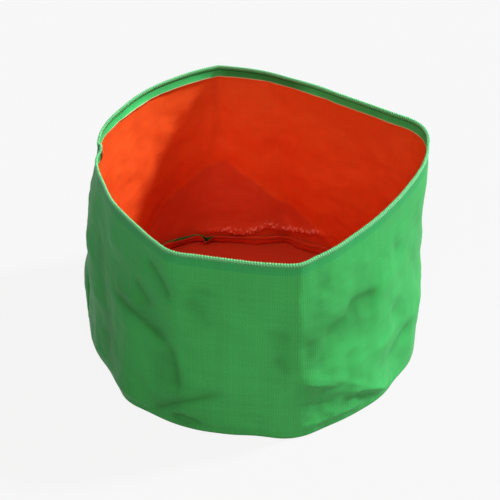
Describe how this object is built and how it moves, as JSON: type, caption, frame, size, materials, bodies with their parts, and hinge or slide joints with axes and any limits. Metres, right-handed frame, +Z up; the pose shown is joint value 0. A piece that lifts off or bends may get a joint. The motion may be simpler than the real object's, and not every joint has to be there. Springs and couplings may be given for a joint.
{
  "type": "fabric grow bag",
  "caption": "Round open-topped planter bag sewn from two-colour woven plastic sheet, with a hemmed and overlocked rim and a flat round base.",
  "frame": {"origin": "centre of the base panel on the floor", "axes": "+Z up out of the bag's open mouth, -Y the front with one fold of the flat pack, -X the side seam"},
  "size_m": [0.4708, 0.491, 0.2985],
  "materials": {
    "green_weave": "satin",
    "orange_coating": "satin",
    "thread": "satin"
  },
  "bodies": {
    "root": {"wall_fabric": "green_weave", "wall_lining": "orange_coating", "rim_hem_fabric": "green_weave", "rim_hem_lining": "orange_coating", "rim_overlock_upper_looper": "thread", "rim_overlock_lower_looper": "thread", "rim_overlock_needle_thread": "thread", "side_seam_front_ply": "orange_coating", "side_seam_back_ply": "orange_coating", "side_seam_needle_thread": "thread", "side_seam_bobbin_thread": "thread", "base_fabric": "green_weave", "base_lining": "orange_coating", "base_seam_wall_ply": "orange_coating", "base_seam_base_ply": "orange_coating", "base_seam_needle_thread": "thread", "base_seam_bobbin_thread": "thread"}
  },
  "joints": []
}
